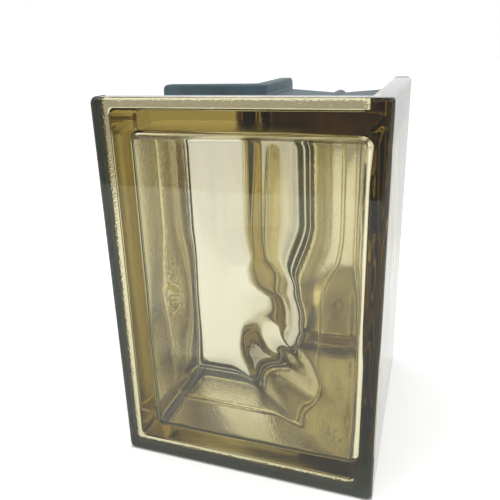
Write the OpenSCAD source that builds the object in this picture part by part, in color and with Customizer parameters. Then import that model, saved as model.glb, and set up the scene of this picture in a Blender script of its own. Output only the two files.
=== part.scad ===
// Corner glass block: a hollow L-shaped unit for walls of glass blocks, pressed as two glass halves
// that are fused along a seam half way between the outer and the inner faces.
//
// The front outer face looks to -Y and the side outer face to +X. The free ends of the two arms
// look to -X and +Y. The origin is the middle of the footprint's box, at the bottom.
// Depths are measured inwards from the outer faces, and insets inwards from the rim of a face.

/* [Block] */
// Width of each outer face, from the free end to the outer corner
face_w = 132; // [120:1:180]
// Thickness from the outer faces to the inner faces
block_t = 80; // [64:1:92]
// Height of the block
block_h = 190; // [100:1:240]

/* [Flanges and mortar groove] */
// Thickness of the flange round the outer faces
outer_flange_t = 9.5; // [7:0.5:14]
// Thickness of the flange round the inner faces
inner_flange_t = 8; // [6:0.5:12]
// Depth of the mortar groove at the foot of the flanges
groove_depth = 6.2; // [4:0.1:8]
// How much deeper the groove lies at the seam than at the flanges
groove_fall = 2.3; // [0.5:0.1:3.5]
// Rounding in the foot of each flange
foot_r = 1.5; // [0.5:0.25:2]

/* [Seam bead] */
// Width of the bead that the fused seam leaves in the groove
bead_w = 6; // [3:0.5:8]
// Height of the bead over the floor of the groove
bead_h = 1.7; // [0.6:0.1:2.4]

/* [Glass] */
// Thickness of the outer panes
outer_pane_t = 7; // [5:0.5:9]
// Thickness of the inner panes
inner_pane_t = 7; // [5:0.5:9]
// Thickness of the edge walls at the seam
wall_t = 5; // [3.5:0.5:7]
// How much thicker the edge walls are at the panes, for the draft of the press tool
wall_taper = 1.5; // [0.5:0.25:3]
// Rounding of the hollow where a pane meets the edge walls
hollow_r = 5; // [2:0.5:5.5]
// Rounding of the hollow behind the outer corner
hollow_nose_r = 7.5; // [6.5:0.5:12]
// Rounding of the glass round the re-entrant corner, on the hollow's side
hollow_notch_r = 9; // [3:0.5:12]

/* [Waves] */
// Height of the ribs pressed into the hollow side of the outer panes
outer_wave_h = 3.9; // [0:0.1:4.2]
// Height of the ribs pressed into the hollow side of the inner panes
inner_wave_h = 1.4; // [0:0.1:2]
// Half of the width of a rib
rib_w = 22; // [10:1:30]
// Width over which the ribs die out towards the upright corner between the arms
wave_fade = 6; // [2:0.5:15]
// Spacing of the points that the ribs are drawn with
wave_step = 4.5; // [4:0.5:12]

/* [Edges] */
// Rounding of the upright outer corner
nose_r = 3; // [1.5:0.5:5]
// Rounding of the upright re-entrant corner
notch_r = 4; // [1:0.5:6]
// Rounding of the face corners at the free ends, seen from the front
face_corner_r = 3; // [1:0.5:5]
// Rounding of the edges of the faces
face_edge_r = 1.6; // [0.5:0.1:2.5]
// Rounding of the flanges' edges on the side of the groove
groove_edge_r = 1; // [0.3:0.1:2]

/* [Hidden] */

// Half of the footprint's side, the depth of the seam, and the groove's deepest inset
half_w = face_w / 2;
seam_d = block_t / 2;
floor_inset = groove_depth + groove_fall;
// Insets of the hollow at the seam and where its roundings begin at the panes
seam_inset = floor_inset + wall_t;
pane_inset = seam_inset + wall_taper;
core_inset = pane_inset + hollow_r;
// How far the hollow of each half is cut past the seam
past_seam = 1;
// Steps of a small rounding, of the bead, of the hollow's roundings and of its upright corners
round_steps = 5;
bead_steps = 4;
hollow_steps = 3;
bend_steps = 6;

// The ribs of the waves. Each point of a rib is a share of the way along an arm's pane and of the way
// up it, a share of the wave height and a share of the rib width. The side arm has the same ribs,
// turned upside down
outer_ribs = [
    [
        [0.646, 1.167, 1.00, 1.55],
        [0.646, 0.770, 1.00, 1.55],
        [0.638, 0.725, 0.62, 0.85],
        [0.610, 0.620, 0.42, 0.85],
        [0.600, 0.540, 0.32, 0.90],
        [0.570, 0.455, 0.75, 1.25],
        [0.575, 0.390, 0.90, 0.82],
        [0.600, 0.340, 0.90, 0.80],
        [0.697, 0.270, 0.85, 0.82],
        [0.862, 0.147, 0.75, 0.82],
        [0.944, 0.053, 0.50, 0.64]
    ],
    [[0.144, 0.733, 0.00, 0.64], [0.103, 0.513, 0.40, 0.64], [0.133, 0.300, 0.00, 0.64]],
    [[0.995, 0.667, 0.00, 0.73], [0.995, 0.533, 0.50, 0.73], [1.000, 0.133, 0.50, 0.73]]
];
inner_ribs = [
    [[0.400, 0.133, 0.50, 0.73], [0.530, 0.533, 1.00, 0.91], [0.467, 0.867, 0.60, 0.82]]
];

function backwards(list) = [for (k = [len(list) - 1 : -1 : 0]) list[k]];
function unit(v) = v / norm(v);
function turned(v, angle) = [
    v[0] * cos(angle) - v[1] * sin(angle),
    v[0] * sin(angle) + v[1] * cos(angle)
];

// The points that round corner b, between its neighbours a and c, with radius r
function corner_arc(a, b, c, r) =
    let (
        to_a = unit(a - b),
        to_c = unit(c - b),
        half = acos(to_a * to_c) / 2,
        centre = b + unit(to_a + to_c) * r / sin(half),
        start = b + to_a * r / tan(half) - centre,
        turn = (180 - 2 * half) * sign(cross(b - a, c - b))
    )
    [for (k = [0 : round_steps]) centre + turned(start, turn * k / round_steps)];

// An outline of corners given as x, y and rounding
function outline(corners) =
    let (n = len(corners), at = [for (p = corners) [p[0], p[1]]])
    [for (k = [0 : n - 1])
        each corners[k][2] > 0
            ? corner_arc(at[(k + n - 1) % n], at[k], at[(k + 1) % n], corners[k][2])
            : [at[k]]];

// Half of the bead, from its crest at the seam down to the floor of the groove. The flange of that
// half ends at depth flange_d
function bead_arc(flange_d) =
    let (
        span = flange_d - seam_d,
        reach = bead_w / 2 * sign(span),
        drop = bead_h - groove_fall * reach / span,
        r = (reach * reach + drop * drop) / (2 * drop),
        turn = asin(reach / r)
    )
    [for (k = [0 : bead_steps])
        let (angle = turn * k / bead_steps)
        [floor_inset - bead_h + r * (1 - cos(angle)), seam_d + r * sin(angle), 0]];

// Edge of a half from the seam to its face, as inset, depth and rounding
function edge(flange_d, face_d) = concat(
    bead_arc(flange_d),
    [
        [groove_depth, flange_d, foot_r],
        [0, flange_d, groove_edge_r],
        [0, face_d, face_edge_r]
    ]
);
outer_edge = edge(outer_flange_t, 0);
inner_edge = edge(block_t - inner_flange_t, block_t);

// Section of a half: depth across, height up
function section(edge) = outline(concat(
    [for (p = edge) [p[1], p[0], p[2]]],
    [for (p = backwards(edge)) [p[1], block_h - p[0], p[2]]]
));

// Plan of a half: both free ends, the corner on the face's side and the corner of the seam
function plan(edge, corner) = outline(concat(
    [for (p = edge) [-half_w + p[0], -half_w + p[1], p[2]]],
    [corner],
    [for (p = backwards(edge)) [half_w - p[1], half_w - p[0], p[2]]],
    [[half_w - seam_d, -half_w + seam_d, 0]]
));

// Draws the front arm's shape, and its mirror image as the side arm
module both_arms() {
    children();
    mirror([1, 1, 0]) children();
}

// One arm with the given edge, as far as the mitre between the arms
module mitred_arm(edge) {
    corners = [
        [-half_w, -half_w],
        [half_w, -half_w],
        [-half_w, half_w]
    ];
    intersection() {
        translate([-half_w, -half_w, 0])
            rotate([90, 0, 90]) linear_extrude(face_w) polygon(section(edge));
        linear_extrude(block_h) polygon(corners);
    }
}

// Everything inside the front view, whose corners are rounded at the free end
module front_view() {
    corners = [
        [-half_w, 0, face_corner_r],
        [half_w, 0, 0],
        [half_w, block_h, 0],
        [-half_w, block_h, face_corner_r]
    ];
    translate([0, half_w, 0]) rotate([90, 0, 0]) linear_extrude(face_w) polygon(outline(corners));
}

// A half without its hollow: its plan, both arms' sections and both views from outside
module pressed_half(edge, corner) {
    intersection() {
        linear_extrude(block_h) polygon(plan(edge, corner));
        union() both_arms() mitred_arm(edge);
        front_view();
        mirror([1, 1, 0]) front_view();
    }
}

// A half's hollow is described by these values: the depth of the pane's surface, the rounding of its
// upright corner, the side of the pane that the hollow lies on, the depth that the hollow is cut to,
// and the height and the ribs of its waves
outer_hollow = [
    outer_pane_t, hollow_nose_r, -1, seam_d + past_seam, outer_wave_h, outer_ribs
];
inner_hollow = [
    block_t - inner_pane_t, hollow_notch_r, 1, seam_d - past_seam, inner_wave_h, inner_ribs
];

core_x = -half_w + core_inset;
core_z = core_inset;
core_h = block_h - 2 * core_inset;
function straight(h) = half_w - h[0] - h[1] - core_x;
function bend(h) = h[1] * PI / 2;
function run(h) = 2 * straight(h) + bend(h);

// Height of one rib at a place on an arm's pane, as a share of the wave height. arm is the length and
// the height of that pane
function rib_height(rib, place, arm) =
    max([for (k = [0 : len(rib) - 2])
        let (
            start = [rib[k][0] * arm[0], rib[k][1] * arm[1]],
            end = [rib[k + 1][0] * arm[0], rib[k + 1][1] * arm[1]],
            way = end - start,
            part = max(0, min(1, (place - start) * way / (way * way))),
            away = norm(place - start - part * way),
            size = rib[k] + part * (rib[k + 1] - rib[k])
        )
        size[2] * (0.5 + 0.5 * cos(180 * min(1, away / (size[3] * rib_w))))]);

// Height of the ribs at u along a pane and v up it, over the plain pane
function wave(h, u, v) =
    let (
        arm = [straight(h), core_h],
        middle = run(h) / 2,
        share = min(1, abs(middle - u) / wave_fade),
        fade = share * share * (3 - 2 * share),
        place = u < middle ? [u, v] : [run(h) - u, core_h - v],
        heights = [for (rib = h[5]) rib_height(rib, place, arm)]
    )
    h[4] * fade * (heights * [for (k = heights) 1]);

// Plan point at u along a pane, over past its end, and rise off it towards the seam
function pane_point(h, u, over, rise) =
    let (
        a = straight(h),
        b = bend(h),
        r = h[1] + h[2] * rise,
        centre = [half_w - h[0] - h[1], -half_w + h[0] + h[1]],
        turn = 90 * (u - a) / b
    )
    u <= a ? [core_x + u + over, centre[1] - r]
    : u < a + b ? centre + r * [sin(turn), -cos(turn)]
    : [centre[0] + r, centre[1] + u - a - b + over];

// Plan point on the cut at the seam, at share s of the run
function seam_point(h, s, over) =
    let (bend_x = half_w - h[3], reach = (bend_x - core_x) * 2)
    s <= 0.5 ? [core_x + reach * s + over, -bend_x]
    : [bend_x, -core_x - reach * (1 - s) + over];

// Columns along a pane as distance and share of the rounding past it, from one end to the other
function columns(h) =
    let (a = straight(h), b = bend(h), n = ceil(a / wave_step))
    concat(
        [for (k = [hollow_steps : -1 : 1]) [0, -k / hollow_steps]],
        [for (k = [0 : n - 1]) [a * k / n, 0]],
        [for (k = [0 : bend_steps - 1]) [a + b * k / bend_steps, 0]],
        [for (k = [0 : n]) [a + b + a * k / n, 0]],
        [for (k = [1 : hollow_steps]) [run(h), k / hollow_steps]]
    );

// Rows up a pane, written like the columns
function rows() =
    let (n = ceil(core_h / wave_step))
    concat(
        [for (k = [hollow_steps : -1 : 1]) [0, -k / hollow_steps]],
        [for (k = [0 : n]) [core_h * k / n, 0]],
        [for (k = [1 : hollow_steps]) [core_h, k / hollow_steps]]
    );

// A point of the pane or of the rounding between it and the edge walls
function hollow_point(h, c, r) =
    let (
        angle = 90 * max(abs(c[1]), abs(r[1])),
        way = atan2(r[1], c[1]),
        over = hollow_r * sin(angle),
        rise = hollow_r * (1 - cos(angle)) + wave(h, c[0], r[0]),
        p = pane_point(h, c[0], over * cos(way), rise)
    )
    [p[0], p[1], core_z + r[0] + over * sin(way)];

// A point of the rim at the seam, straight behind a point of the rounding's edge
function rim_point(h, c, r) =
    let (
        way = atan2(r[1], c[1]),
        over = hollow_r + wall_taper,
        p = seam_point(h, c[0] / run(h), over * cos(way))
    )
    [p[0], p[1], core_z + r[0] + over * sin(way)];

// Triangles between the points of a rim of nc columns and nr rows, counted round from its first corner
function rim_cut(nc, nr) =
    let (rim = 2 * (nc + nr) - 4, far = nc + nr - 2, top = far + nc - 1)
    concat(
        [for (k = [top : rim - 1]) [1, (k + 1) % rim, k]],
        [[1, top, top - 1]],
        [for (k = [1 : nc - 3]) each [[k + 1, k, top - k], [k + 1, top - k, top - k - 1]]],
        [[nc - 1, nc - 2, far + 1]],
        [for (k = [nc - 1 : far - 1]) [far + 1, k + 1, k]]
    );

// The hollow of one half: the waved pane, its roundings, the edge walls and the cut at the seam
module hollow(h) {
    cols = columns(h);
    rws = rows();
    nc = len(cols);
    nr = len(rws);
    turn = concat(
        [for (i = [0 : nc - 1]) [i, 0]],
        [for (j = [1 : nr - 1]) [nc - 1, j]],
        [for (i = [nc - 2 : -1 : 0]) [i, nr - 1]],
        [for (j = [nr - 2 : -1 : 1]) [0, j]]
    );
    rim = len(turn);
    first = nc * nr;
    points = concat(
        [for (j = [0 : nr - 1], i = [0 : nc - 1]) hollow_point(h, cols[i], rws[j])],
        [for (t = turn) rim_point(h, cols[t[0]], rws[t[1]])]
    );
    pane = [for (j = [0 : nr - 2], i = [0 : nc - 2])
        let (p = j * nc + i)
        each [[p, p + 1, p + nc + 1], [p, p + nc + 1, p + nc]]];
    walls = [for (k = [0 : rim - 1])
        let (
            m = (k + 1) % rim,
            p = turn[k][1] * nc + turn[k][0],
            q = turn[m][1] * nc + turn[m][0]
        )
        each [[p, first + k, first + m], [p, first + m, q]]];
    cut = [for (f = rim_cut(nc, nr)) [for (k = f) first + k]];
    faces = concat(pane, walls, cut);
    polyhedron(points, h[2] > 0 ? faces : [for (f = faces) backwards(f)], convexity = 4);
}

// The half with the outer faces
module outer_half() {
    color([0.60, 0.55, 0.28]) difference() {
        pressed_half(outer_edge, [half_w, -half_w, nose_r]);
        hollow(outer_hollow);
    }
}

// The half with the inner faces
module inner_half() {
    notch = half_w - block_t;
    color([0.52, 0.47, 0.24]) difference() {
        pressed_half(inner_edge, [notch, -notch, notch_r]);
        hollow(inner_hollow);
    }
}

outer_half();
inner_half();
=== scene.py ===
import math

import bmesh
import bpy
from bpy.props import FloatProperty, FloatVectorProperty, PointerProperty
from mathutils import Matrix, Vector


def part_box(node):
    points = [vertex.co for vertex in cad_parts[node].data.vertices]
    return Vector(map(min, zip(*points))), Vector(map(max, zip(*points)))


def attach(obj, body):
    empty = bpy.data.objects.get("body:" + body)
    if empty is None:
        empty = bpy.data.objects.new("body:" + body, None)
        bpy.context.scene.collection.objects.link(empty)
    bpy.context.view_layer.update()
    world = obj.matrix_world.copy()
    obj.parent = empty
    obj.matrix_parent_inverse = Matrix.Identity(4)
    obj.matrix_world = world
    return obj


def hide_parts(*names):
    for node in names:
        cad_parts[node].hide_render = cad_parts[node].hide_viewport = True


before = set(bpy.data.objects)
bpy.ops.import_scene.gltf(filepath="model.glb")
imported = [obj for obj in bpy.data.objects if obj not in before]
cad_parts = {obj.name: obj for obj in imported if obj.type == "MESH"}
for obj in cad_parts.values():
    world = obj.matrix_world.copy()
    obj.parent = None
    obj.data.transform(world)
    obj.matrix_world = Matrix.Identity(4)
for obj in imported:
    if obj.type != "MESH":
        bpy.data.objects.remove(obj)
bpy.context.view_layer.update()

bl_info = {
    "name": "Corner Glass Block",
    "version": (1, 0, 0),
    "blender": (4, 5, 0),
    "location": "3D View > Sidebar > Glass Block",
    "description": "Dresses the pressed corner glass block and sets up its studio",
    "category": "Add Mesh",
}

MM = 0.001
# Lengths closer than this count as equal
SLACK = 0.001 * MM

# The block's main sizes come from the frame. Depths run inwards from the outer faces, and insets
# inwards from the rim of a face
OUTER_LOW, OUTER_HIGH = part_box("outer_half")
INNER_LOW, INNER_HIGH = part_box("inner_half")
FACE_W = OUTER_HIGH.x - OUTER_LOW.x
BLOCK_H = OUTER_HIGH.z - OUTER_LOW.z
SEAM_D = INNER_LOW.y - OUTER_LOW.y
BLOCK_T = 2 * SEAM_D
HALF_W = FACE_W / 2

# Steps of the roundings and of the upright corners
ROUND_STEPS = 6
BEAD_STEPS = 6
CORNER_STEPS = 6
BEND_STEPS = 8
HOLLOW_STEPS = 6
HOLLOW_BEND_STEPS = 12

# Attribute that tells how much hammered relief the glass has at a point, and its amounts on the
# hollow's walls and on the back of the outer flange
HAMMER = "hammer"
WALL_HAMMER = 1.0
FLANGE_HAMMER = 0.6

# Material slots of the glass body
GLASS, SILVERING, PAINT = range(3)

# The ribs pressed into the panes. Each point of a rib is a share of the way along an arm's pane and
# of the way up it, a share of the wave height and a share of the rib width. The side arm has the
# same ribs, turned upside down
OUTER_RIBS = (
    (
        (0.646, 1.167, 1.00, 1.55),
        (0.646, 0.770, 1.00, 1.55),
        (0.638, 0.725, 0.62, 0.85),
        (0.610, 0.620, 0.42, 0.85),
        (0.600, 0.540, 0.32, 0.90),
        (0.570, 0.455, 0.75, 1.25),
        (0.575, 0.390, 0.90, 0.82),
        (0.600, 0.340, 0.90, 0.80),
        (0.697, 0.270, 0.85, 0.82),
        (0.862, 0.147, 0.75, 0.82),
        (0.944, 0.053, 0.50, 0.64),
    ),
    ((0.144, 0.733, 0.00, 0.64), (0.103, 0.513, 0.40, 0.64), (0.133, 0.300, 0.00, 0.64)),
    ((0.995, 0.667, 0.00, 0.73), (0.995, 0.533, 0.50, 0.73), (1.000, 0.133, 0.50, 0.73)),
)
INNER_RIBS = (
    ((0.400, 0.133, 0.50, 0.73), (0.530, 0.533, 1.00, 0.91), (0.467, 0.867, 0.60, 0.82)),
)


def length(name, description, mm):
    """A length property whose default is given in millimetres."""
    return FloatProperty(
        name=name, description=description, default=mm * MM, min=0.0, unit="LENGTH", precision=5
    )


def share(name, description, default, top=1.0):
    """A plain number property from 0 to top."""
    return FloatProperty(name=name, description=description, default=default, min=0.0, max=top)


def colour(name, description, default):
    """A linear colour property."""
    return FloatVectorProperty(
        name=name,
        description=description,
        default=default,
        size=3,
        min=0.0,
        max=1.0,
        subtype="COLOR",
    )


class BlockSizes(bpy.types.PropertyGroup):
    """Sizes of the pressed glass."""

    outer_flange: length("Outer flange", "Thickness of the flange round the outer faces", 9.5)
    inner_flange: length("Inner flange", "Thickness of the flange round the inner faces", 8)
    groove: length("Groove", "Depth of the mortar groove at the foot of the flanges", 6.2)
    groove_fall: length("Groove fall", "How much deeper the groove lies at the seam", 2.3)
    foot: length("Foot rounding", "Rounding in the foot of each flange", 1.5)
    bead_w: length("Bead width", "Width of the bead along the fused seam", 6)
    bead_h: length("Bead height", "Height of the bead over the groove's floor", 1.7)
    outer_pane: length("Outer pane", "Thickness of the outer panes", 7)
    inner_pane: length("Inner pane", "Thickness of the inner panes", 7)
    wall: length("Edge wall", "Thickness of the edge walls at the seam", 5)
    wall_taper: length("Wall taper", "How much thicker the edge walls are at the panes", 1.5)
    hollow: length("Hollow rounding", "Rounding where a pane meets the edge walls", 5)
    hollow_nose: length("Nose in the hollow", "Rounding of the hollow behind the outer corner", 7.5)
    hollow_notch: length("Notch in the hollow", "Rounding of the glass round the inner corner", 9)
    outer_wave_h: length("Outer waves", "Height of the ribs pressed into the outer panes", 3.9)
    inner_wave_h: length("Inner waves", "Height of the ribs pressed into the inner panes", 1.4)
    rib_w: length("Rib width", "Half of the width of a rib", 22)
    wave_fade: length("Wave fade", "Width over which the ribs die out at the upright corner", 6)
    nose: length("Nose", "Rounding of the upright outer corner", 3)
    notch: length("Notch", "Rounding of the upright inner corner", 4)
    face_corner: length("Face corner", "Rounding of the face corners at the free ends", 3)
    face_edge: length("Face edge", "Rounding of the edges of the faces", 1.6)
    groove_edge: length("Groove edge", "Rounding of the flanges on the groove's side", 1)
    grid: length("Wave grid", "Spacing of the mesh that the waves are drawn with", 1.75)


class BlockFinish(bpy.types.PropertyGroup):
    """Colours and finishes of the glass and its coated groove."""

    tint: colour("Glass tint", "Colour that is left after one unit of glass", (0.70, 0.61, 0.18))
    tint_depth: share("Tint depth", "How fast the glass takes on its tint, per metre", 42.0, 200.0)
    glass_ior: share("Refractive index", "Refractive index of the glass", 1.52, 3.0)
    silver: colour("Silvering", "Colour of the metal coat under the paint", (0.85, 0.84, 0.76))
    silver_rough: share("Silvering roughness", "Roughness of the metal coat", 0.02)
    hammer_h: length("Hammered relief", "Height of the relief on the flange and the hollow", 0.15)
    hammer_scale: share("Relief scale", "How fine the hammered relief is, per metre", 900.0, 5000.0)
    paint: colour("Edge paint", "Colour of the paint in the groove", (0.085, 0.135, 0.160))
    paint_rough: share("Paint roughness", "Roughness of the edge paint", 0.55)
    paint_skin: length("Paint skin", "Thickness of the edge paint", 0.2)


class StudioLook(bpy.types.PropertyGroup):
    """The studio round the block."""

    world_light: share("Room light", "Strength of the room's light on the block", 0.75, 5.0)
    lamp_power: share("Lamp power", "Power of the soft key lamp, in watts", 6.0, 500.0)
    floor: colour("Floor", "Colour of the floor", (0.86, 0.86, 0.86))
    floor_glow: share("Floor glow", "Light added to the floor behind the block", 0.45, 5.0)
    near_glow: share("Near glow", "Light added to the floor in front", 0.45, 5.0)
    far_glow: share("Far glow", "Light added to the floor far behind", 0.13, 5.0)
    glow: colour("Glow colour", "Colour of the light added to the floor", (0.93, 1.0, 0.96))
    backdrop: share("Backdrop", "Brightness of the backdrop, as seen in the glass", 1.1, 5.0)
    room_low: colour("Low room", "The room in front, below the table", (0.45, 0.44, 0.42))
    room_high: colour("High room", "The room in front, above the table", (0.72, 0.70, 0.63))
    room_sides: share("Room sides", "The room's sides, as a share of the backdrop", 0.55)
    air_gap: length("Air gap", "Air between the block's feet and the floor", 0.1)
    table_edge: length("Table edge", "How far the table reaches in front of the block", 600)


def bend_place(depth, centre, radius, s):
    """Plan place at s along a surface that runs straight, round the corner and straight again.

    centre is the depth of the corner's centre, and radius is the one that s is measured by."""
    straight = FACE_W - centre
    bend = radius * math.pi / 2
    r = centre - depth
    if s <= straight:
        return -HALF_W + s, -HALF_W + depth
    if s < straight + bend:
        turn = (s - straight) / radius
        return HALF_W - centre + r * math.sin(turn), -HALF_W + centre - r * math.cos(turn)
    return HALF_W - depth, -HALF_W + centre + s - straight - bend


def rounded(corners):
    """Points of a line of (inset, depth, rounding) corners, without its two ends."""
    at = [Vector(corner[:2]) for corner in corners]
    points = []
    for k in range(1, len(corners) - 1):
        radius = corners[k][2]
        if not radius:
            points.append(at[k])
            continue
        to_last = (at[k - 1] - at[k]).normalized()
        to_next = (at[k + 1] - at[k]).normalized()
        half = to_last.angle(to_next) / 2
        centre = at[k] + (to_last + to_next).normalized() * radius / math.sin(half)
        start = at[k] + to_last * radius / math.tan(half) - centre
        side = -1 if to_last.x * to_next.y - to_last.y * to_next.x > 0 else 1
        turn = side * (math.pi - 2 * half)
        for step in range(ROUND_STEPS + 1):
            points.append(centre + Matrix.Rotation(turn * step / ROUND_STEPS, 2) @ start)
    return points


def bead_line(sizes, flange_d):
    """Half of the bead, from its crest at the seam down to the floor of the groove."""
    floor = sizes.groove + sizes.groove_fall
    span = flange_d - SEAM_D
    reach = math.copysign(sizes.bead_w / 2, span)
    drop = sizes.bead_h - sizes.groove_fall * reach / span
    r = (reach * reach + drop * drop) / (2 * drop)
    turn = math.asin(reach / r)
    line = []
    for step in range(BEAD_STEPS + 1):
        angle = turn * step / BEAD_STEPS
        inset = floor - sizes.bead_h + r * (1 - math.cos(angle))
        line.append((inset, SEAM_D + r * math.sin(angle), 0))
    return line


def edge_profile(sizes):
    """The block's edge from the outer face, round the groove, to the inner face."""
    outer_d = sizes.outer_flange
    inner_d = BLOCK_T - sizes.inner_flange
    bead = bead_line(sizes, outer_d)[::-1] + bead_line(sizes, inner_d)[1:]
    return rounded([
        (SEAM_D, 0, 0),
        (0, 0, sizes.face_edge),
        (0, outer_d, sizes.groove_edge),
        (sizes.groove, outer_d, sizes.foot),
        *bead,
        (sizes.groove, inner_d, sizes.foot),
        (0, inner_d, sizes.groove_edge),
        (0, BLOCK_T, sizes.face_edge),
        (SEAM_D, BLOCK_T, 0),
    ])


def turn_places(sizes, inset, depth):
    """Places of one turn round the block, at an inset from its edges and a depth from its outer
    faces: along the bottom round the corner, up the side arm's end, back along the top and down."""
    radius = sizes.nose + (sizes.notch - sizes.nose) * depth / BLOCK_T
    centre = depth + radius
    straight = FACE_W - centre
    bend = radius * math.pi / 2
    near_face = min(depth, BLOCK_T - depth) < sizes.face_edge
    corner = sizes.face_corner - (inset if near_face else 0)
    left, right = inset + corner, 2 * straight + bend - inset - corner
    low, high = inset + corner, BLOCK_H - inset - corner
    bends = [straight + bend * step / BEND_STEPS for step in range(BEND_STEPS + 1)]
    line = [(s, inset) for s in bends]
    for s, z, start in ((right, low, -90), (right, high, 0)):
        line += corner_line(s, z, corner, start)
    line += [(s, BLOCK_H - inset) for s in reversed(bends)]
    for s, z, start in ((left, high, 90), (left, low, 180)):
        line += corner_line(s, z, corner, start)
    return [Vector((*bend_place(depth, centre, radius, s), z)) for s, z in line]


def corner_line(s, z, radius, start):
    """A quarter turn about (s, z), from the angle start in degrees."""
    angles = [math.radians(start + 90 * step / CORNER_STEPS) for step in range(CORNER_STEPS + 1)]
    return [(s + radius * math.cos(a), z + radius * math.sin(a)) for a in angles]


def coat_slot(sizes, start, end):
    """The material between two points of the edge profile: glass on the faces and their rounded
    edges, paint on the rims of the flanges, and silvering under the paint in the groove."""
    low, high = sizes.face_edge - SLACK, BLOCK_T - sizes.face_edge + SLACK
    if start.y < low or end.y > high:
        return GLASS
    return PAINT if max(start.x, end.x) < sizes.groove_edge + SLACK else SILVERING


def painted_rim():
    """Places in a turn round the block where the outer flange's rim is painted, in order: down the
    front arm's end, along the bottom and up the side arm's end. Along the top it is bare."""
    top = BEND_STEPS + 1 + 2 * (CORNER_STEPS + 1)
    return [*range(top + BEND_STEPS + 1, 2 * top), *range(top)]


def join_loops(bm, loops, slots=None):
    """Faces between loops of vertices that follow each other; slots gives their materials."""
    for k in range(len(loops) - 1):
        a, b = loops[k], loops[k + 1]
        for i in range(len(a)):
            face = bm.faces.new((a[i - 1], a[i], b[i], b[i - 1]))
            face.material_index = slots[k] if slots else GLASS


def cover_face(bm, loop):
    """Closes a turn round the block with its two flat faces and the rounded corner between."""
    last = BEND_STEPS
    side_end = last + 1 + 2 * (CORNER_STEPS + 1)
    top = loop[side_end : side_end + last + 1][::-1]
    bm.faces.new([loop[0], top[0], *loop[side_end + last + 1 :]])
    bm.faces.new([*loop[last : side_end], top[last]])
    for k in range(last):
        bm.faces.new((loop[k], loop[k + 1], top[k + 1], top[k]))


def new_verts(bm, places):
    """A vertex at each place."""
    return [bm.verts.new(place) for place in places]


def hammer_loops(bm, loops, amount):
    """Marks how much hammered relief the glass has between these loops."""
    layer = bm.verts.layers.float[HAMMER]
    for loop in loops:
        for vert in loop:
            vert[layer] = amount


def press_outside(bm, sizes):
    """The block's outside: both faces, the flanges and the groove."""
    profile = edge_profile(sizes)
    loops = [new_verts(bm, turn_places(sizes, p.x, p.y)) for p in profile]
    slots = [coat_slot(sizes, start, end) for start, end in zip(profile, profile[1:])]
    join_loops(bm, loops, slots)
    # Face i of a turn lies between its places i - 1 and i, so the painted faces start one later
    painted = painted_rim()[1:]
    for number, face in enumerate(bm.faces):
        k, i = divmod(number, len(loops[0]))
        if slots[k] == PAINT and profile[k].y < SEAM_D and i not in painted:
            face.material_index = GLASS
    flange_d = sizes.outer_flange
    back = [loop for loop, p in zip(loops, profile) if abs(p.y - flange_d) < SLACK]
    hammer_loops(bm, back, FLANGE_HAMMER)
    cover_face(bm, loops[0])
    cover_face(bm, loops[-1])
    bmesh.ops.recalc_face_normals(bm, faces=bm.faces)


def steps_along(end, count):
    """Steps along a pane as (distance, share of the rounding past its edge)."""
    past = [k / HOLLOW_STEPS for k in range(1, HOLLOW_STEPS + 1)]
    steps = [(0, -s) for s in reversed(past)]
    steps += [(end * k / count, 0) for k in range(count + 1)]
    return steps + [(end, s) for s in past]


def pane_columns(centre, radius, core, count):
    """Steps along a pane that runs round the corner, from core past the free end's plane."""
    straight = FACE_W - centre - core
    bend = radius * math.pi / 2
    steps = steps_along(2 * straight + bend, 2 * count + HOLLOW_BEND_STEPS)
    for k in range(2 * count + HOLLOW_BEND_STEPS + 1):
        if k <= count:
            along = straight * k / count
        elif k <= count + HOLLOW_BEND_STEPS:
            along = straight + bend * (k - count) / HOLLOW_BEND_STEPS
        else:
            along = straight + bend + straight * (k - count - HOLLOW_BEND_STEPS) / count
        steps[HOLLOW_STEPS + k] = (along, 0)
    return steps


def rib_height(rib, place, arm, width):
    """Height of one rib at a place on an arm's pane, as a share of the wave height."""
    points = [(Vector((p[0] * arm.x, p[1] * arm.y)), Vector((p[2], p[3]))) for p in rib]
    best = 0.0
    for (start, start_size), (end, end_size) in zip(points, points[1:]):
        way = end - start
        part = max(0.0, min(1.0, (place - start).dot(way) / way.length_squared))
        away = (place - start - way * part).length
        height, reach = start_size.lerp(end_size, part)
        turn = math.pi * min(1.0, away / (reach * width))
        best = max(best, height * (0.5 + 0.5 * math.cos(turn)))
    return best


def wave(sizes, height, ribs, u, v, run, arm):
    """Height of the ribs at u along a pane and v up it, over the plain pane."""
    part = min(1.0, abs(run / 2 - u) / sizes.wave_fade)
    fade = part * part * (3 - 2 * part)
    place = Vector((u, v)) if u < run / 2 else Vector((run - u, arm.y - v))
    return height * fade * sum(rib_height(rib, place, arm, sizes.rib_w) for rib in ribs)


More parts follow.
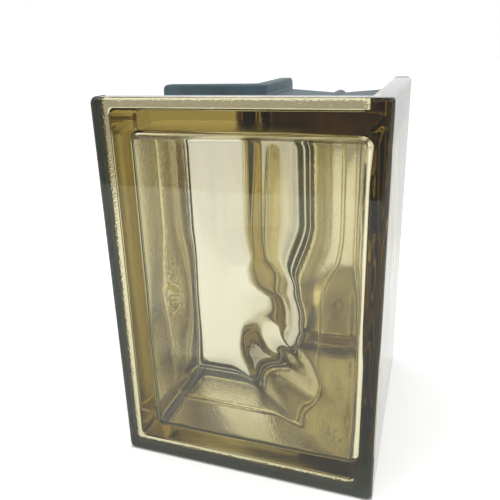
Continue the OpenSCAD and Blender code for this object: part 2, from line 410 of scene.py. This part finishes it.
def press_hollow(bm, sizes):
    """The sealed hollow: two waved panes, their roundings and the edge walls."""
    seam_inset = sizes.groove + sizes.groove_fall + sizes.wall
    over = sizes.hollow + sizes.wall_taper
    core = seam_inset + over
    rise = BLOCK_H - 2 * core
    count = round((FACE_W - 2 * core) / sizes.grid)
    rows = steps_along(rise, round(rise / sizes.grid))
    panes = (
        (sizes.outer_pane, sizes.hollow_nose, sizes.outer_wave_h, OUTER_RIBS),
        (BLOCK_T - sizes.inner_pane, sizes.hollow_notch, -sizes.inner_wave_h, INNER_RIBS),
    )
    rims = []
    for pane_d, radius, wave_h, ribs in panes:
        side = math.copysign(1, wave_h)
        centre = pane_d + radius
        columns = pane_columns(centre, radius, core, count)
        run = columns[-1][0]
        arm = Vector((FACE_W - centre - core, rise))
        grid = []
        for v, past_v in rows:
            line = []
            for u, past_u in columns:
                angle = math.pi / 2 * max(abs(past_u), abs(past_v))
                way = math.atan2(past_v, past_u)
                out = sizes.hollow * math.sin(angle)
                rounding = sizes.hollow * (1 - math.cos(angle))
                relief = wave(sizes, wave_h, ribs, u, v, run, arm)
                depth = pane_d + side * rounding + relief
                x, y = bend_place(depth, centre, radius, core + u)
                shift = out * math.cos(way) if past_u or past_v else 0
                if u < run / 2:
                    x += shift
                else:
                    y += shift
                lift = out * math.sin(way) if past_u or past_v else 0
                line.append(bm.verts.new((x, y, core + v + lift)))
            grid.append(line)
        for j in range(len(rows) - 1):
            for i in range(len(columns) - 1):
                bm.faces.new((grid[j][i], grid[j][i + 1], grid[j + 1][i + 1], grid[j + 1][i]))
        rims.append(rim_of(grid))
    seam = new_verts(bm, seam_turn(columns, rows, run, core, over, rise))
    walls = [rims[0], seam, rims[1]]
    join_loops(bm, walls)
    hammer_loops(bm, walls, WALL_HAMMER)


def rim_of(grid):
    """The vertices round a grid, from its first corner along the first row."""
    first, last = grid[0], grid[-1]
    right = [row[-1] for row in grid[1:-1]]
    left = [row[0] for row in grid[1:-1]]
    return [*first, *right, *last[::-1], *left[::-1]]


def seam_turn(columns, rows, run, core, over, rise):
    """Places of the hollow's walls at the seam, in the order of rim_of."""
    reach = FACE_W - SEAM_D - core

    def place(column, row):
        (u, past_u), (v, past_v) = column, row
        way = math.atan2(past_v, past_u)
        part = u / run
        shift = over * math.cos(way)
        z = core + v + over * math.sin(way)
        if part <= 0.5:
            return -HALF_W + core + 2 * reach * part + shift, -HALF_W + SEAM_D, z
        return HALF_W - SEAM_D, HALF_W - core - 2 * reach * (1 - part) + shift, z

    first = [place(c, rows[0]) for c in columns]
    right = [place(columns[-1], r) for r in rows[1:-1]]
    last = [place(c, rows[-1]) for c in reversed(columns)]
    left = [place(columns[0], r) for r in reversed(rows[1:-1])]
    return [*first, *right, *last, *left]


def finished_piece(name, bm, materials):
    """Makes a smooth-shaded piece of a bmesh, with its flat faces kept flat."""
    mesh = bpy.data.meshes.new(name)
    bm.to_mesh(mesh)
    bm.free()
    for material in materials:
        mesh.materials.append(material)
    mesh.shade_smooth()
    piece = bpy.data.objects.new(name, mesh)
    bpy.context.scene.collection.objects.link(piece)
    flat = piece.modifiers.new("flat_faces", "WEIGHTED_NORMAL")
    flat.mode = "FACE_AREA"
    return piece


def add_node(tree, kind, sockets=(), **settings):
    """Adds a shader node with values for its sockets, by name, and its own settings."""
    node = tree.nodes.new(kind)
    for name, value in dict(sockets).items():
        node.inputs[name].default_value = value
    for name, value in settings.items():
        setattr(node, name, value)
    return node


def new_material(name):
    """A node material with its output node only. Returns the material, its tree and the output."""
    material = bpy.data.materials.new(name)
    material.use_nodes = True
    tree = material.node_tree
    tree.nodes.clear()
    return material, tree, tree.nodes.new("ShaderNodeOutputMaterial")


def glass_material(finish):
    """Bronze glass: clear at the surface, tinted by the way that light goes through it."""
    material, tree, output = new_material("bronze_glass")
    glass = add_node(
        tree,
        "ShaderNodeBsdfPrincipled",
        {
            "Base Color": (1, 1, 1, 1),
            "Roughness": 0.0,
            "IOR": finish.glass_ior,
            "Transmission Weight": 1.0,
        },
    )
    tree.links.new(hammered(tree, finish), glass.inputs["Normal"])
    tint = add_node(
        tree,
        "ShaderNodeVolumeAbsorption",
        {"Color": (*finish.tint, 1), "Density": finish.tint_depth},
    )
    tree.links.new(glass.outputs["BSDF"], output.inputs["Surface"])
    tree.links.new(tint.outputs["Volume"], output.inputs["Volume"])
    return material


def silver_material(finish):
    """The metal coat of the groove, as it shows from inside the glass."""
    material, tree, output = new_material("groove_silvering")
    metal = add_node(
        tree,
        "ShaderNodeBsdfPrincipled",
        {
            "Base Color": (*finish.silver, 1),
            "Metallic": 1.0,
            "Roughness": finish.silver_rough,
        },
    )
    tree.links.new(hammered(tree, finish), metal.inputs["Normal"])
    tree.links.new(metal.outputs["BSDF"], output.inputs["Surface"])
    return material


def hammered(tree, finish):
    """A socket with the normal of the hammered relief, where the mesh has its attribute."""
    place = add_node(tree, "ShaderNodeTexCoord")
    where = add_node(tree, "ShaderNodeAttribute", attribute_name=HAMMER)
    grain = add_node(tree, "ShaderNodeTexNoise", {"Scale": finish.hammer_scale, "Detail": 1.0})
    relief = add_node(tree, "ShaderNodeBump", {"Distance": finish.hammer_h})
    tree.links.new(place.outputs["Object"], grain.inputs["Vector"])
    tree.links.new(grain.outputs["Fac"], relief.inputs["Height"])
    tree.links.new(where.outputs["Fac"], relief.inputs["Strength"])
    return relief.outputs["Normal"]


# The paint's clouds and their shades, as a place in the noise and a share of the colour, and its
# grain
PAINT_CLOUD = {"Scale": 60.0, "Detail": 4.0, "Roughness": 0.55}
PAINT_SHADES = ((0.3, 0.78), (0.7, 1.2))
PAINT_SAND = {"Scale": 1400.0, "Detail": 2.0, "Roughness": 0.5}
PAINT_GRAIN = {"Strength": 0.35, "Distance": 0.15 * MM}


def paint_material(name, finish):
    """The grainy blue-grey paint, on the silvering or on bare glass."""
    material, tree, output = new_material(name)
    place = add_node(tree, "ShaderNodeTexCoord")
    cloud = add_node(tree, "ShaderNodeTexNoise", PAINT_CLOUD)
    sand = add_node(tree, "ShaderNodeTexNoise", PAINT_SAND)
    for noise in (cloud, sand):
        tree.links.new(place.outputs["Object"], noise.inputs["Vector"])
    ramp = add_node(tree, "ShaderNodeValToRGB")
    for stop, (position, part) in zip(ramp.color_ramp.elements, PAINT_SHADES):
        stop.position = position
        stop.color = (*[c * part for c in finish.paint], 1)
    tree.links.new(cloud.outputs["Fac"], ramp.inputs["Fac"])
    bump = add_node(tree, "ShaderNodeBump", PAINT_GRAIN)
    tree.links.new(sand.outputs["Fac"], bump.inputs["Height"])
    paint = add_node(tree, "ShaderNodeBsdfPrincipled", {"Roughness": finish.paint_rough})
    tree.links.new(ramp.outputs["Color"], paint.inputs["Base Color"])
    tree.links.new(bump.outputs["Normal"], paint.inputs["Normal"])
    tree.links.new(paint.outputs["BSDF"], output.inputs["Surface"])
    return material


class GLASSBLOCK_OT_body(bpy.types.Operator):
    """Presses the glass body, with its waved hollow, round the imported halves"""

    bl_idname = "glassblock.body"
    bl_label = "Glass Body"

    def execute(self, context):
        sizes = context.scene.block_sizes
        finish = context.scene.block_finish
        outside, hollow = bmesh.new(), bmesh.new()
        for bm in (outside, hollow):
            bm.verts.layers.float.new(HAMMER)
        press_outside(outside, sizes)
        press_hollow(hollow, sizes)
        bmesh.ops.recalc_face_normals(hollow, faces=hollow.faces)
        bmesh.ops.reverse_faces(hollow, faces=hollow.faces)
        inside = bpy.data.meshes.new("hollow")
        hollow.to_mesh(inside)
        hollow.free()
        outside.from_mesh(inside)
        bpy.data.meshes.remove(inside)
        coats = [silver_material(finish), paint_material("rim_paint", finish)]
        body = finished_piece("glass_body", outside, [glass_material(finish), *coats])
        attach(body, "root")
        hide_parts("outer_half", "inner_half")
        return {"FINISHED"}


# How far the skin's underside stands off the glass, as a share of the skin's thickness
SKIN_GAP = 0.15


class GLASSBLOCK_OT_edge_paint(bpy.types.Operator):
    """Lays the skin of blue-grey paint in the mortar groove and on the painted rims"""

    bl_idname = "glassblock.edge_paint"
    bl_label = "Edge Paint"

    def execute(self, context):
        sizes = context.scene.block_sizes
        finish = context.scene.block_finish
        profile = edge_profile(sizes)
        slots = [coat_slot(sizes, start, end) for start, end in zip(profile, profile[1:])]
        rim, groove = slots.index(PAINT), slots.index(SILVERING)
        last = len(slots) - slots[::-1].index(PAINT)
        bm = bmesh.new()
        turns = self.skin(profile[groove : last + 1], sizes, finish)
        loops = [new_verts(bm, places) for places in turns]
        join_loops(bm, [*loops, loops[0]])
        turns = self.skin(profile[rim : groove + 1], sizes, finish)
        cuts = [new_verts(bm, [places[i] for places in turns]) for i in painted_rim()]
        join_loops(bm, cuts)
        for cut in (cuts[0], cuts[-1]):
            bm.faces.new(cut)
        bmesh.ops.recalc_face_normals(bm, faces=bm.faces)
        paint = finished_piece("edge_paint", bm, [paint_material("edge_paint", finish)])
        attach(paint, "root")
        return {"FINISHED"}

    def skin(self, profile, sizes, finish):
        """Turns round the block for a thin skin on part of the edge profile: its underside, then
        back over its top."""
        under, over = [], []
        for k, p in enumerate(profile):
            along = profile[min(k + 1, len(profile) - 1)] - profile[max(k - 1, 0)]
            out = Vector((-along.y, along.x)).normalized()
            under.append(p + out * finish.paint_skin * SKIN_GAP)
            over.append(p + out * finish.paint_skin)
        return [turn_places(sizes, p.x, p.y) for p in under + over[::-1]]


# Place, angles in degrees, lens in millimetres, upward shift as a share of the picture, and the
# nearest distance that is seen
CAMERA_PLACE = (79.5 * MM, -274.6 * MM, 209.2 * MM)
CAMERA_ANGLES = (71.12, 1.54, 18.39)
CAMERA_LENS = 38.62
CAMERA_SHIFT = -0.04
CAMERA_CLIP = 10 * MM
# Where the room goes from front to sides, from sides to back and from low to high, as the parts of
# a direction along Y and Z
ROOM_FRONT = (-0.45, -0.15)
ROOM_BACK = (0.2, 0.6)
ROOM_RISE = (-0.1, 0.15)
# How far the floor reaches, and where along Y its light goes from near to far
FLOOR_REACH = 6.0
FLOOR_FALL = (0.06, 0.34)
# Light goes on through the glass for this many bounces, and this many in its coats
GLASS_BOUNCES = 32
COAT_BOUNCES = 16
# Name, place, size and share of the lamp power
LAMPS = (
    ("key_lamp", (-0.9, -0.9, 1.3), 1.2, 1.0),
    ("fill_lamp", (1.3, -0.3, 0.9), 1.0, 0.5),
)


def glass_rays(tree, path):
    """A socket that is 1 for rays that show the room mirrored in the block or through it."""
    either = add_node(tree, "ShaderNodeMath", operation="MAXIMUM")
    tree.links.new(path.outputs["Is Glossy Ray"], either.inputs[0])
    tree.links.new(path.outputs["Is Transmission Ray"], either.inputs[1])
    return either.outputs[0]


class GLASSBLOCK_OT_studio(bpy.types.Operator):
    """Sets up the floor, the room, the lamps and the camera"""

    bl_idname = "glassblock.studio"
    bl_label = "Studio"

    def execute(self, context):
        look = context.scene.studio_look
        self.lay_floor(look)
        self.light_room(look)
        self.place_lamps(look)
        self.place_camera()
        context.scene.view_settings.view_transform = "Standard"
        context.scene.cycles.max_bounces = GLASS_BOUNCES
        context.scene.cycles.transmission_bounces = GLASS_BOUNCES
        context.scene.cycles.glossy_bounces = COAT_BOUNCES
        return {"FINISHED"}

    def lay_floor(self, look):
        """A pale floor that shows as white, and the block's footprint on it without added light."""
        reach, edge = FLOOR_REACH, look.table_edge
        corners = ((-reach, -edge), (reach, -edge), (reach, reach), (-reach, reach))
        notch = HALF_W - BLOCK_T
        foot = (
            (-HALF_W, -HALF_W),
            (HALF_W, -HALF_W),
            (HALF_W, HALF_W),
            (notch, HALF_W),
            (notch, -notch),
            (-HALF_W, -notch),
        )
        self.flat_piece("floor", corners, -look.air_gap, self.floor_material(look))
        material, tree, output = new_material("footprint")
        plain = add_node(tree, "ShaderNodeBsdfDiffuse", {"Color": (*look.floor, 1)})
        tree.links.new(plain.outputs[0], output.inputs["Surface"])
        self.flat_piece("footprint", foot, -look.air_gap / 2, material)

    def flat_piece(self, name, corners, z, material):
        """One level face of the stage."""
        bm = bmesh.new()
        bm.faces.new(new_verts(bm, [(x, y, z) for x, y in corners]))
        mesh = bpy.data.meshes.new(name)
        bm.to_mesh(mesh)
        bm.free()
        mesh.materials.append(material)
        piece = bpy.data.objects.new(name, mesh)
        bpy.context.scene.collection.objects.link(piece)

    def floor_material(self, look):
        """White to the camera; in the glass it is brightest in front and falls off behind."""
        material, tree, output = new_material("floor")
        plain = add_node(tree, "ShaderNodeBsdfDiffuse", {"Color": (*look.floor, 1)})
        place = add_node(tree, "ShaderNodeTexCoord")
        parts = add_node(tree, "ShaderNodeSeparateXYZ")
        fall = add_node(
            tree,
            "ShaderNodeMapRange",
            {
                "From Min": FLOOR_FALL[0],
                "From Max": FLOOR_FALL[1],
                "To Min": look.near_glow,
                "To Max": look.far_glow,
            },
        )
        path = add_node(tree, "ShaderNodeLightPath")
        through = add_node(tree, "ShaderNodeMath", operation="MULTIPLY")
        straight = add_node(tree, "ShaderNodeMath", {1: look.floor_glow}, operation="MULTIPLY")
        tree.links.new(place.outputs["Object"], parts.inputs[0])
        tree.links.new(parts.outputs["Y"], fall.inputs["Value"])
        tree.links.new(fall.outputs["Result"], through.inputs[0])
        tree.links.new(glass_rays(tree, path), through.inputs[1])
        tree.links.new(path.outputs["Is Camera Ray"], straight.inputs[0])
        last = plain
        for shade, strength in ((look.glow, through), ((1, 1, 1), straight)):
            glow = add_node(tree, "ShaderNodeEmission", {"Color": (*shade, 1)})
            both = add_node(tree, "ShaderNodeAddShader")
            tree.links.new(strength.outputs[0], glow.inputs["Strength"])
            tree.links.new(last.outputs[0], both.inputs[0])
            tree.links.new(glow.outputs[0], both.inputs[1])
            last = both
        tree.links.new(last.outputs[0], output.inputs["Surface"])
        return material

    def light_room(self, look):
        """An even pale room: it shows as white, and its front, sides and back show in the glass."""
        world = bpy.data.worlds.new("room")
        bpy.context.scene.world = world
        world.use_nodes = True
        tree = world.node_tree
        tree.nodes.clear()
        output = tree.nodes.new("ShaderNodeOutputWorld")
        white = (1, 1, 1, 1)
        light = add_node(
            tree, "ShaderNodeBackground", {"Color": white, "Strength": look.world_light}
        )
        shown = add_node(tree, "ShaderNodeBackground", {"Strength": look.backdrop})
        straight = add_node(tree, "ShaderNodeBackground", {"Color": white, "Strength": 1.0})
        way = add_node(tree, "ShaderNodeTexCoord")
        parts = add_node(tree, "ShaderNodeSeparateXYZ")
        tree.links.new(way.outputs["Generated"], parts.inputs[0])
        front = self.blend(tree, parts.outputs["Z"], ROOM_RISE, look.room_low, look.room_high)
        sides = [look.room_sides] * 3
        rest = self.blend(tree, parts.outputs["Y"], ROOM_BACK, sides, (1, 1, 1))
        shade = self.blend(tree, parts.outputs["Y"], ROOM_FRONT, front, rest)
        tree.links.new(shade, shown.inputs["Color"])
        path = add_node(tree, "ShaderNodeLightPath")
        mix = add_node(tree, "ShaderNodeMixShader")
        tree.links.new(glass_rays(tree, path), mix.inputs[0])
        tree.links.new(light.outputs[0], mix.inputs[1])
        tree.links.new(shown.outputs[0], mix.inputs[2])
        last = add_node(tree, "ShaderNodeMixShader")
        tree.links.new(path.outputs["Is Camera Ray"], last.inputs[0])
        tree.links.new(mix.outputs[0], last.inputs[1])
        tree.links.new(straight.outputs[0], last.inputs[2])
        tree.links.new(last.outputs[0], output.inputs["Surface"])

    def blend(self, tree, value, span, low, high):
        """Blends two colours or colour sockets as a value goes over a span."""
        step = add_node(tree, "ShaderNodeMapRange", {"From Min": span[0], "From Max": span[1]})
        tree.links.new(value, step.inputs["Value"])
        mix = add_node(tree, "ShaderNodeMix", data_type="RGBA")
        tree.links.new(step.outputs["Result"], mix.inputs[0])
        for shade, socket in ((low, mix.inputs[6]), (high, mix.inputs[7])):
            if isinstance(shade, bpy.types.NodeSocket):
                tree.links.new(shade, socket)
            else:
                socket.default_value = (*shade, 1)
        return mix.outputs[2]

    def place_lamps(self, look):
        """Soft square lamps that look at the middle of the block."""
        middle = Vector((0, 0, BLOCK_H / 2))
        for name, place, size, power in LAMPS:
            lamp = bpy.data.lights.new(name, "AREA")
            lamp.size = size
            lamp.energy = look.lamp_power * power
            lamp_object = bpy.data.objects.new(name, lamp)
            lamp_object.location = place
            aim = middle - Vector(place)
            lamp_object.rotation_euler = aim.to_track_quat("-Z", "Y").to_euler()
            bpy.context.scene.collection.objects.link(lamp_object)

    def place_camera(self):
        """The camera at the photograph's place, angles and lens."""
        lens = bpy.data.cameras.new("camera")
        lens.lens = CAMERA_LENS
        lens.shift_y = CAMERA_SHIFT
        lens.clip_start = CAMERA_CLIP
        camera = bpy.data.objects.new("camera", lens)
        camera.location = CAMERA_PLACE
        camera.rotation_euler = [math.radians(a) for a in CAMERA_ANGLES]
        bpy.context.scene.collection.objects.link(camera)
        bpy.context.scene.camera = camera


class GLASSBLOCK_PT_panel(bpy.types.Panel):
    """Lists the steps that build the block"""

    bl_idname = "GLASSBLOCK_PT_panel"
    bl_label = "Corner Glass Block"
    bl_space_type = "VIEW_3D"
    bl_region_type = "UI"
    bl_category = "Glass Block"

    def draw(self, context):
        for step in STEPS:
            self.layout.operator(step.bl_idname)
        scene = context.scene
        for group in (scene.block_sizes, scene.block_finish, scene.studio_look):
            box = self.layout.box()
            for name in group.__annotations__:
                box.prop(group, name)


STEPS = (GLASSBLOCK_OT_body, GLASSBLOCK_OT_edge_paint, GLASSBLOCK_OT_studio)
CLASSES = (BlockSizes, BlockFinish, StudioLook, *STEPS, GLASSBLOCK_PT_panel)


def register():
    """Adds the operators, the panel and the scene's property groups."""
    for cls in CLASSES:
        bpy.utils.register_class(cls)
    bpy.types.Scene.block_sizes = PointerProperty(type=BlockSizes)
    bpy.types.Scene.block_finish = PointerProperty(type=BlockFinish)
    bpy.types.Scene.studio_look = PointerProperty(type=StudioLook)


def unregister():
    """Takes them away again."""
    for name in ("block_sizes", "block_finish", "studio_look"):
        delattr(bpy.types.Scene, name)
    for cls in reversed(CLASSES):
        bpy.utils.unregister_class(cls)


def main():
    """Builds the dressed block."""
    register()
    bpy.ops.glassblock.body()
    bpy.ops.glassblock.edge_paint()
    bpy.ops.glassblock.studio()


if __name__ == "__main__":
    main()
